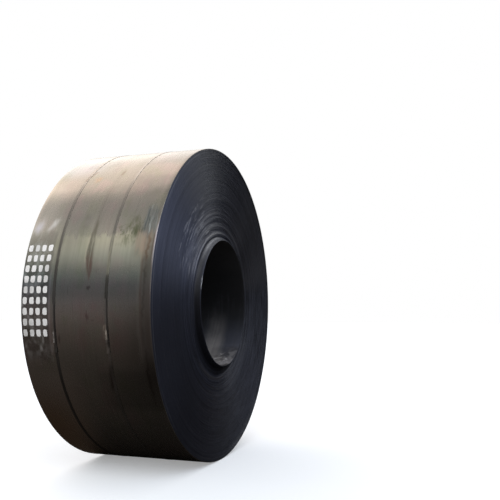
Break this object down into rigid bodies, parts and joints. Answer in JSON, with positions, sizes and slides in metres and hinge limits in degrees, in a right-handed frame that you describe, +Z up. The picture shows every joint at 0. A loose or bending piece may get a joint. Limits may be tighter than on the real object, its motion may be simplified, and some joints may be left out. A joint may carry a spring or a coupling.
{
  "type": "steel coil",
  "caption": "Wound coil of black hot-rolled steel strip lying on its side, with an open eye, one end dished round it with the innermost turns pushed out as a lip, and flat steel bands round its girth.",
  "frame": {"origin": "bottom centre of the bounding box: on the floor under the coil's axis, halfway along it", "axes": "+X along the coil's axis towards the end where the inner turns stand proud, +Z up, so the eye opens along X and the seals are on the -Y side"},
  "size_m": [0.796, 1.8824, 1.8824],
  "materials": {
    "hot_rolled_strip": "hot-rolled mill scale: dark blue-black cut edges on the ends, brown-black semi-gloss girth with faint rolling streaks, rust blooms and dust",
    "strapping": "dull waxed steel band, darkened, edges rubbed bright",
    "seal_steel": "bare crimped steel, satin, lightly scratched"
  },
  "bodies": {
    "root": {"steel_coil": "hot_rolled_strip", "strap_far": "strapping", "strap_near": "strapping", "strap_seal_far": "seal_steel", "strap_seal_near": "seal_steel"}
  },
  "joints": []
}
